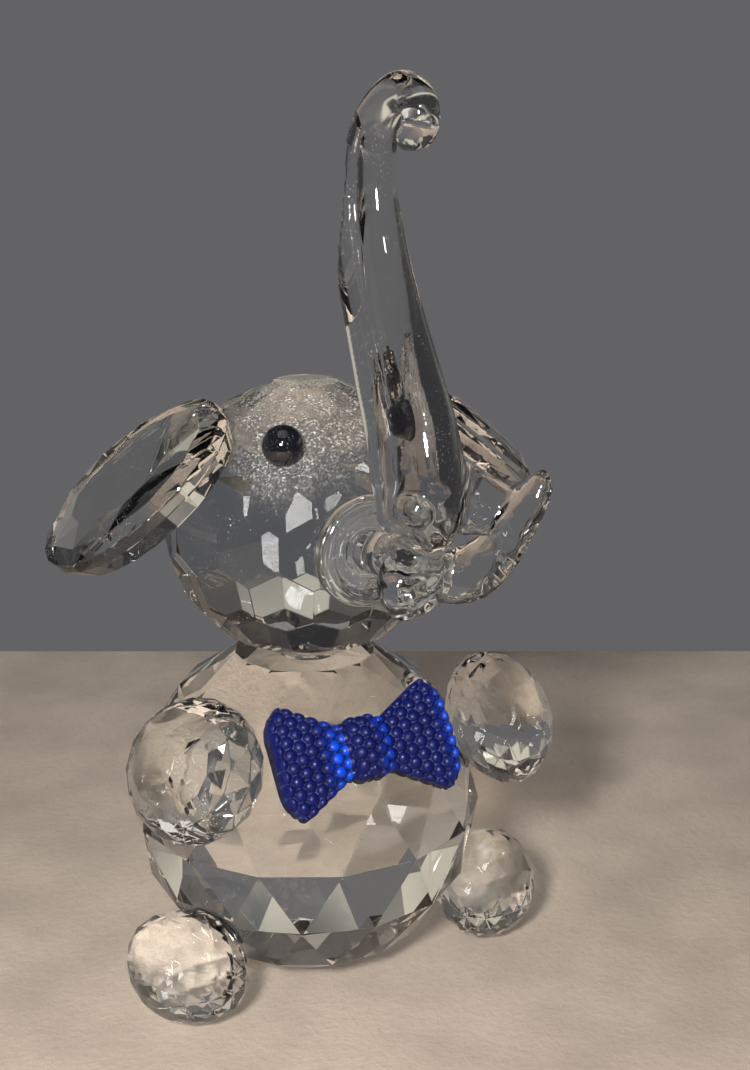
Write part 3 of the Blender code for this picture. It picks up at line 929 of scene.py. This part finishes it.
    def distance(self, points: Floats) -> Floats:
        """Distance to the whole trunk, its parts fused with fillets, and cut off at the collar's back.

        Args:
            points: Places, in mm.

        Returns:
            The distance in mm, negative inside.
        """
        start = (self.seat.middle / MM + self.seat.axis * self.collar_length / 2)[None, :]
        route = np.vstack([start, self.places(self.stem_bend), self.places(self.stem_end)])
        stem = smooth_rows(route, self.stem_steps)
        bead = np.linalg.norm(points - self.places(self.bead_place), axis=1) - self.bead_radius
        glass = self.rod_and_rib(points)
        for ribbon in self.ribbons:
            glass = soft_join(glass, self.ribbon(points, ribbon), self.fuse_fillet)
        rod = chain_distance(points, stem, np.full(len(stem), self.stem_radius))
        glass = soft_join(glass, rod, self.fuse_fillet)
        glass = soft_join(glass, self.collar(points), self.collar_fillet)
        glass = soft_join(glass, bead, self.bead_fillet)
        offset = points - self.seat.middle / MM
        return np.maximum(glass + self.polish_loss, self.collar_rise - offset @ self.seat.axis)

    def build(self) -> Object:
        """Works out the distance on a grid, wraps it in quads, and lays each point on the zero surface.

        Returns:
            The finished trunk.
        """
        low, high = (np.array(corner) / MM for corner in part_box(self.node))
        points, faces = wrap_field(self.distance, low - self.margin, high + self.margin, self.pitch)
        mesh = mesh_from("trunk_drawn", points * MM, faces)
        map_seats(mesh, [self.seat], self.seat_depth * MM)
        piece = new_piece("trunk_drawn", mesh, self.finish, smooth=True)
        return hand_over(piece, self.node, Slot.DRAWN)


def wrap_field(
    distance: Callable[[Floats], Floats], low: Floats, high: Floats, pitch: float
) -> tuple[Floats, Ints]:
    """Wraps the zero surface of a distance in quads: one point in each grid cell that it crosses.

    The grid is measured finely only in blocks near the surface. A cell's point is the mean of where the
    surface cuts the cell's edges, and then moves along the slope of the distance until it lies on the
    surface.

    Args:
        distance: The function that measures points.
        low: The grid's lowest corner.
        high: Its highest corner.
        pitch: The grid's step.

    Returns:
        The points and the quads.
    """
    block, block_reach, slope_step, least_slope, passes = 4, 1.1, 0.25, 0.25, 2
    blocks = np.ceil((high - low) / (pitch * block)).astype(int)
    coarse_axes = [low[i] + pitch * block * (np.arange(blocks[i]) + 0.5) for i in range(3)]
    coarse = np.stack(np.meshgrid(*coarse_axes, indexing="ij"), axis=-1)
    rough = distance(coarse.reshape(-1, 3)).reshape(blocks)
    near = np.abs(rough) < pitch * block * block_reach
    values, fine = (a.repeat(block, 0).repeat(block, 1).repeat(block, 2) for a in (rough, near))
    values[fine] = distance(low + pitch * (np.argwhere(fine) + 0.5))
    inside = values < 0
    count = np.zeros(np.array(values.shape) - 1, np.int8)
    corners = [(i, j, k) for i in (0, 1) for j in (0, 1) for k in (0, 1)]
    size = count.shape
    for i, j, k in corners:
        count += inside[i : i + size[0], j : j + size[1], k : k + size[2]]
    cells = np.argwhere((count > 0) & (count < 8))
    total = np.zeros((len(cells), 3))
    cuts = np.zeros(len(cells))
    for corner in corners:
        start = np.array(corner)
        for step in np.eye(3, dtype=int)[start == 0]:
            first, second = (values[tuple((cells + end).T)] for end in (start, start + step))
            crosses = (first < 0) != (second < 0)
            share = np.where(crosses, first / np.where(crosses, first - second, 1), 0)
            total += (cells + start + share[:, None] * step) * crosses[:, None]
            cuts += crosses
    points = low + pitch * (total / cuts[:, None] + 0.5)
    number = np.full(size, -1)
    number[tuple(cells.T)] = np.arange(len(cells))
    quads = []
    for axis in range(3):
        ahead = np.roll(inside, -1, axis)
        change = np.zeros_like(inside)
        inner = (slice(1, -1),) * 3
        change[inner] = (inside != ahead)[inner]
        at = np.argwhere(change)
        step_u, step_v = np.eye(3, dtype=int)[[(axis + 1) % 3, (axis + 2) % 3]]
        around = [number[tuple((at - shift).T)] for shift in (step_u + step_v, step_v, 0 * step_u, step_u)]
        quad = np.stack(around, axis=1)
        leaving = inside[tuple(at.T)]
        quads.append(np.where(leaving[:, None], quad, quad[:, ::-1]))
    faces = np.vstack(quads)
    reach = pitch * slope_step
    for _ in range(passes):
        value = distance(points)
        slope = np.stack([distance(points + reach * axis) - value for axis in np.eye(3)], axis=1) / reach
        steep = np.maximum(np.einsum("ij,ij->i", slope, slope), least_slope)
        points = points - slope * (np.clip(value, -pitch, pitch) / steep)[:, None]
    return points, faces


# ---- bow tie


def fade(value: Floats, low: float, high: float) -> Floats:
    """A straight ramp from 0 at low to 1 at high, which may be the lesser, and level past both."""
    return np.clip((value - low) / (high - low), 0, 1)


@dataclass
class PebbledBow:
    """Moulded bow tie: two lobes and a knot, crowned up and down, with rows of pebbles. Sizes in mm."""

    finish: Material
    node: str = "bow_tie"
    half_width: float = 10.3
    lobe_half_height: float = 6.2
    waist_half_height: float = 3.0
    knot_half_width: float = 2.5
    knot_half_height: float = 3.6
    knot_bend: float = 0.6
    shoulder: float = 0.72
    end_round: float = 0.115
    end_least: float = 0.2
    thickness: float = 2.1
    knot_rise: float = 0.9
    rim_share: float = 0.42
    end_share: float = 0.55
    end_from: float = 0.94
    wall_up: float = 0.985
    wall_across: float = 0.992
    scallop: float = 0.30
    # bands of the mask of the painted highlight on the sides that turn left
    inner_lit_band: Pair = (0.45, 0.10)
    outer_lit_band: Pair = (0.70, 0.95)
    knot_lit_band: Pair = (0.1, 0.8)
    roll: float = 2.0
    lift: float = 0.2
    pebble_pitch: float = 1.42
    pebble_radius: float = 0.74
    pebble_height: float = 0.62
    columns: int = 300
    rows: int = 150

    def outline(self, across: Floats) -> Floats:
        """Half height across the bow: the knot, a waist, then a lobe that widens and rounds off at its end.

        Args:
            across: Places across the bow.

        Returns:
            The half heights.
        """
        reach = np.abs(across)
        knot = self.knot_half_height * np.cos(self.knot_bend * np.minimum(reach / self.knot_half_width, 1))
        share = fade(reach, self.knot_half_width, self.half_width)
        widening = (self.lobe_half_height - self.waist_half_height) * np.minimum(share / self.shoulder, 1)
        past = np.maximum(share - self.shoulder, 0)
        rounding = np.sqrt(np.maximum(1 - past**2 / self.end_round, self.end_least))
        return np.where(reach <= self.knot_half_width, knot, (self.waist_half_height + widening) * rounding)

    def pebbles(self, x: Floats, y: Floats) -> Floats:
        """Height of the pebbles: the highest of the domes of two staggered lattices at each place.

        Args:
            x: Places across the bow.
            y: Places up the bow.

        Returns:
            Heights from 0 to 1.
        """
        tall = self.pebble_pitch * math.sqrt(3)
        best = np.zeros_like(x)
        for shift in (0.0, 0.5):
            u = (y / self.pebble_pitch + shift) % 1 - 0.5
            v = (x / tall + shift) % 1 - 0.5
            gap = np.hypot(u * self.pebble_pitch, v * tall) / self.pebble_radius
            best = np.maximum(best, np.sqrt(np.maximum(1 - gap**2, 0)))
        return best

    def lit_side_share(self, x: Floats) -> Floats:
        """How far each place turns left, which sets where the resin's painted highlight goes: one lobe's inner
        end, the other's outer end, the knot's flank.

        Args:
            x: Places across the bow.

        Returns:
            Shares from 0 to 1.
        """
        share = (np.abs(x) - self.knot_half_width) / (self.half_width - self.knot_half_width)
        inner = np.where((x < 0) & (share > 0), fade(share, *self.inner_lit_band), 0)
        outer = np.where((x > 0) & (share > 0), fade(share, *self.outer_lit_band), 0)
        flank = np.where(share <= 0, fade(x / self.knot_half_width, *self.knot_lit_band), 0)
        return np.maximum(np.maximum(inner, outer), flank)

    def build(self) -> Object:
        """Lays the front over a grid across and up, turns its rim down to the flat back, and closes it.

        Returns:
            The finished bow tie.
        """
        seat = Seat.of(Bond.BOW)
        across_axis, slope_axis, out_axis = seat.frame(self.roll)
        s = np.linspace(-1, 1, self.columns)[None, :]
        t = np.linspace(-1, 1, self.rows)[:, None]
        x = np.broadcast_to(self.half_width * s, (self.rows, self.columns))
        lean = np.sin(t * math.pi / 2)
        half = self.outline(x)
        y = lean * (half - self.scallop + self.scallop * self.pebbles(x, half * np.sign(t)))
        knot = self.knot_rise * np.maximum(1 - (x / self.knot_half_width) ** 2, 0)
        arch = np.sqrt(np.maximum(1 - lean**2, 0))
        crown = (self.thickness + knot) * (self.rim_share + (1 - self.rim_share) * arch)
        ends = self.end_share + (1 - self.end_share) * np.sqrt(fade(np.abs(s), 1, self.end_from))
        pebble = self.pebbles(x, y)
        wall = fade(np.abs(t), 1, self.wall_up) * fade(np.abs(s), 1, self.wall_across)
        height = (crown * ends + self.pebble_height * pebble) * wall
        flat = seat.middle + MM * (x[..., None] * across_axis + y[..., None] * slope_axis)
        front = flat + MM * (height + self.lift)[..., None] * out_axis
        back = flat + MM * self.lift * out_axis
        total = self.rows * self.columns
        faces = grid_faces(self.rows, self.columns, closed=False)
        faces = np.vstack([faces, faces[:, ::-1] + total])
        points = np.vstack([front.reshape(-1, 3), back.reshape(-1, 3)])
        mesh = mesh_from("bow_tie_pebbled", points, faces)
        # the 'turned' attribute is the mask of the resin's painted highlight
        for name, values in (("pebble", pebble), ("turned", self.lit_side_share(x))):
            both = np.concatenate([values.ravel(), np.zeros(total)]).astype(np.float32)
            mesh.attributes.new(name, "FLOAT", "POINT").data.foreach_set("value", both)
        weld(mesh)
        piece = new_piece("bow_tie_pebbled", mesh, self.finish, smooth=True)
        return hand_over(piece, self.node, Slot.BLUE)


def weld(mesh: Mesh) -> None:
    """Joins points that coincide and turns the faces of the closed shape outwards.

    Args:
        mesh: The mesh that is changed.
    """
    shape = bmesh.new()
    shape.from_mesh(mesh)
    bmesh.ops.remove_doubles(shape, verts=shape.verts, dist=WELD)
    bmesh.ops.recalc_face_normals(shape, faces=shape.faces)
    shape.to_mesh(mesh)
    shape.free()


# ---- eyes and glue


@dataclass
class Turned:
    """A turned piece on a seat: a profile of radius and height in mm, spun about the seat's axis."""

    node: str
    name: str
    bond: Bond
    slot: Slot
    finish: Material
    profile: Floats
    segments: int = 72
    sharp_angle: float = math.radians(40)

    def build(self) -> Object:
        """Spins the profile: each point of it makes a ring, and the first and last rings shrink to the axis.

        Returns:
            The finished piece.
        """
        seat = Seat.of(self.bond)
        across, slope, _ = seat.frame()
        angle = np.linspace(0, 2 * math.pi, self.segments, endpoint=False)[None, :, None]
        radius, height = (self.profile[:, i][:, None, None] * MM for i in (0, 1))
        spoke = np.cos(angle) * across + np.sin(angle) * slope
        points = seat.middle + radius * spoke + height * seat.axis
        faces = grid_faces(len(self.profile), self.segments, closed=True)
        mesh = mesh_from(self.name, points.reshape(-1, 3), faces)
        weld(mesh)
        piece = new_piece(self.name, mesh, self.finish, smooth=True)
        mesh.set_sharp_from_angle(angle=self.sharp_angle)
        return hand_over(piece, self.node, self.slot)


def eye_profile(radius: float = 2.2, height: float = 2.7, lift: float = 0.2, edge: float = 0.08) -> Floats:
    """Half outline of an eye: a flat with an eased edge, a short side, then a dome.

    Args:
        radius: The eye's radius, in mm.
        height: Its height.
        lift: Its flat's height over the pad's middle.
        edge: How far the flat's edge is eased.

    Returns:
        Rows of radius and height, from the middle of the flat to the top.
    """
    rise = np.linspace(0, math.pi / 2, 20)
    dome = np.column_stack([radius * np.cos(rise), lift + height - radius + radius * np.sin(rise)])
    return np.vstack([(0.0, lift), (radius - edge, lift), (radius, lift + edge), dome])


def pad_profile(radius: float, half_thickness: float = 0.1, bulge: float = 0.06) -> Floats:
    """Half outline of a glue pad: flat faces and a side that bulges out as half an oval.

    Args:
        radius: The pad's radius, in mm.
        half_thickness: Half its thickness.
        bulge: How far its side bulges.

    Returns:
        Rows of radius and height, from the middle of one face to the middle of the other.
    """
    rise = np.linspace(-math.pi / 2, math.pi / 2, 9)
    side = np.column_stack([radius - bulge + bulge * np.cos(rise), half_thickness * np.sin(rise)])
    return np.vstack([(0.0, -half_thickness), side, (0.0, half_thickness)])


# ---- stage


@dataclass(frozen=True)
class Lamp:
    """A soft studio lamp: place, face and aim in mm, power in milliwatts, spread in degrees."""

    name: str
    place: Colour
    size: float
    power: float
    colour: Colour = (1.0, 1.0, 1.0)
    aim: Colour = (0.0, 0.0, 45.0)
    spread: float = 180.0
    pool_only: bool = False

    def build(self) -> Object:
        """Hangs the lamp, hidden from the camera; a lamp for its pool only is hidden from glass too.

        Returns:
            The lamp.
        """
        light = bpy.data.lights.new(self.name, "AREA")
        light.shape = "DISK"
        light.size = self.size * MM
        light.energy = self.power * MM
        light.color = self.colour
        light.spread = math.radians(self.spread)
        lamp = bpy.data.objects.new(self.name, light)
        lamp.location = Vector(self.place) * MM
        lamp.rotation_euler = (Vector(self.aim) - Vector(self.place)).to_track_quat("-Z", "Y").to_euler()
        lamp.visible_camera = False
        lamp.visible_glossy = lamp.visible_transmission = not self.pool_only
        bpy.context.scene.collection.objects.link(lamp)
        return lamp


@dataclass
class Stage:
    """Plain pale floor, plain grey surroundings, soft lamps and the camera. Sizes in mm."""

    camera_place: Colour = (-72.47, -166.83, 104.04)
    camera_right: Colour = (0.899, -0.438, 0.0)
    camera_up: Colour = (0.125, 0.255, 0.959)
    camera_back: Colour = (-0.420, -0.862, 0.284)
    lens: float = 57.2
    sensor: float = 36.0
    seen: Pair = (10.0, 10000.0)
    wall: Colour = (0.125, 0.125, 0.130)
    room: Colour = (0.035, 0.035, 0.037)
    box: Colour = (0.62, 0.58, 0.48)
    box_dim: Colour = (0.085, 0.082, 0.080)
    box_patch_size: float = 1 / 3.2
    box_patch_edge: Pair = (0.42, 0.56)
    wall_way: Colour = (0.438, 0.899, 0.0)
    wall_edge: Pair = (-0.25, 0.35)
    box_foot: Pair = (0.02, 0.11)
    box_head: Pair = (0.20, 0.36)
    floor_back: float = 98.0
    floor_front: float = 190.0
    floor_side: float = 150.0
    floor_turn: float = -26.0
    lamps: tuple[Lamp, ...] = (
        Lamp("key", (-110.0, -160.0, 130.0), 30.0, 900.0, (1.0, 0.97, 0.93)),
        Lamp("overhead", (-30.0, -60.0, 420.0), 340.0, 200.0, (1.0, 0.96, 0.91)),
        Lamp("spark", (-170.0, -330.0, 300.0), 32.0, 260.0, (0.95, 0.97, 1.0)),
        Lamp("gathered", (48.0, 115.0, 130.0), 14.0, 5.5, (1.0, 0.94, 0.84), (25.0, 40.0, 0.0), 17.0, True),
    )

    def floor(self) -> Object:
        """A flat sheet with a straight back edge behind the figurine, turned square to the camera.

        Returns:
            The floor.
        """
        turn = math.radians(-self.floor_turn)
        side = np.array((math.cos(turn), -math.sin(turn), 0.0))
        away = np.array((math.sin(turn), math.cos(turn), 0.0))
        corners = ((-1, -1), (1, -1), (1, 1), (-1, 1))
        reach = {-1: -self.floor_front, 1: self.floor_back}
        points = np.array([(a * self.floor_side * side + reach[b] * away) * MM for a, b in corners])
        mesh = mesh_from("floor", points, np.array([[0, 1, 2, 3]]))
        floor = new_piece("floor", mesh, PlainCloth().build(), smooth=False)
        return floor

    def surroundings(self) -> None:
        """A dim room: mid grey wall ahead of the camera, with a wide patchy cream softbox high on it."""
        world = bpy.data.worlds.new("surroundings")
        bpy.context.scene.world = world
        tree = Tree(world)
        way = tree.add("TexCoord").outputs["Generated"]
        height, ahead = tree.along(way, UP), tree.along(way, self.wall_way)
        patch = tree.ramp(tree.noise(way, self.box_patch_size, 1.0), *self.box_patch_edge)
        softbox = tree.mix_colour(patch, self.box_dim, self.box)
        high_wall = tree.mix_colour(tree.ramp(height, *self.box_foot), self.wall, softbox)
        high_wall = tree.mix_colour(tree.ramp(height, *self.box_head), high_wall, self.room)
        colour = tree.mix_colour(tree.ramp(ahead, *self.wall_edge), self.room, high_wall)
        tree.finish(tree.add("Background", {"Color": colour}), "OutputWorld")

    def camera(self) -> Object:
        """The camera at its place, turned by its own right, up and back axes.

        Returns:
            The camera.
        """
        axes = (Vector(axis).normalized() for axis in (self.camera_right, self.camera_up, self.camera_back))
        data = bpy.data.cameras.new("camera")
        data.lens = self.lens
        data.sensor_width = self.sensor
        data.clip_start, data.clip_end = (distance * MM for distance in self.seen)
        camera = bpy.data.objects.new("camera", data)
        turned = Matrix(tuple(axes)).transposed().to_4x4()
        turned.translation = Vector(self.camera_place) * MM
        camera.matrix_world = turned
        bpy.context.scene.collection.objects.link(camera)
        bpy.context.scene.camera = camera
        return camera

    def tone(self) -> None:
        """A plain film response with clean whites and deep blacks."""
        view = bpy.context.scene.view_settings
        view.view_transform = "Standard"
        view.look = "None"

    def build(self) -> None:
        """Sets up the whole stage."""
        self.tone()
        self.surroundings()
        self.camera()
        self.floor()
        for lamp in self.lamps:
            lamp.build()


# ---- the figurine


@dataclass
class Elephant:
    """The whole figurine: cut stones, drawn trunk, eyes, bow tie and glue pads."""

    stones: dict[str, tuple[Bond, ...]] = field(
        default_factory=lambda: {
            "body_ball": tuple(bond for bond in Bond if bond.on_body),
            "head_ball": tuple(bond for bond in Bond if bond is Bond.HEAD or not bond.on_body),
            **{
                f"{side}_{stone}": (Bond(f"{side}_{stone}_bond"),)
                for stone in ("ear", "arm", "foot")
                for side in ("right", "left")
            },
        }
    )
    # painted shade: a grey tint that darkens the whole head ball
    head_shade_tint: Colour = (0.71, 0.725, 0.74)
    eye_film: Pair = (7.5, 0.55)
    # crown patch: old glue film whose dark colour is partly painted shade
    crown_film_and_shade: Pair = (13.0, 0.70)
    crown_place: Pair = (-2.0, -6.0)
    crown_rise: float = 3.0
    film_sink: float = 0.3
    swirl: HazePatch = HazePatch((4 * MM, -28 * MM, 53 * MM), 11 * MM, 0.9 * MM)

    def head_finish(self) -> Material:
        """Crystal tinted grey as painted shade, with a dusty film of old glue round the right eye and over the
        crown whose dark colour is partly painted shade.

        Returns:
            The material.
        """
        eye = Seat.of(Bond.RIGHT_EYE)
        middle = tuple(float(v) for v in eye.middle - self.film_sink * MM * eye.axis)
        crown = (self.crown_place[0] * MM, self.crown_place[1] * MM, middle[2] + self.crown_rise * MM)
        places = ((middle, self.eye_film), (crown, self.crown_film_and_shade))
        patches = tuple(HazePatch(place, reach * MM, strength) for place, (reach, strength) in places)
        return ClearGlass("crystal_head", tint=self.head_shade_tint, patches=patches).build()

    def build(self) -> None:
        """Makes every piece in order."""
        crystal = ClearGlass("crystal").build()
        head = self.head_finish()
        for node, bonds in self.stones.items():
            CutStone(node, head if node == "head_ball" else crystal, bonds).build()
        drawn = ClearGlass("drawn_glass", ior=1.50, tint=(0.99, 0.99, 0.98), dust=0.15, swirl=self.swirl)
        DrawnTrunk(drawn.build()).build()
        PebbledBow(BlueResin().build()).build()
        black = BlackGlass().build()
        for side, bond in (("right", Bond.RIGHT_EYE), ("left", Bond.LEFT_EYE)):
            Turned(f"{side}_eye", f"{side}_eye_dome", bond, Slot.BLACK, black, eye_profile()).build()
        glue = ClearGlue().build()
        for bond in Bond:
            radius = Seat.of(bond).radius / MM
            Turned(bond.value, f"{bond.value}_pad", bond, Slot.GLUE, glue, pad_profile(radius)).build()


def main() -> None:
    """Builds the figurine and its stage."""
    logging.basicConfig(level=logging.INFO, format="%(message)s")
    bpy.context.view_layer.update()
    Elephant().build()
    Stage().build()
    bpy.context.view_layer.update()


if __name__ == "__main__":
    main()
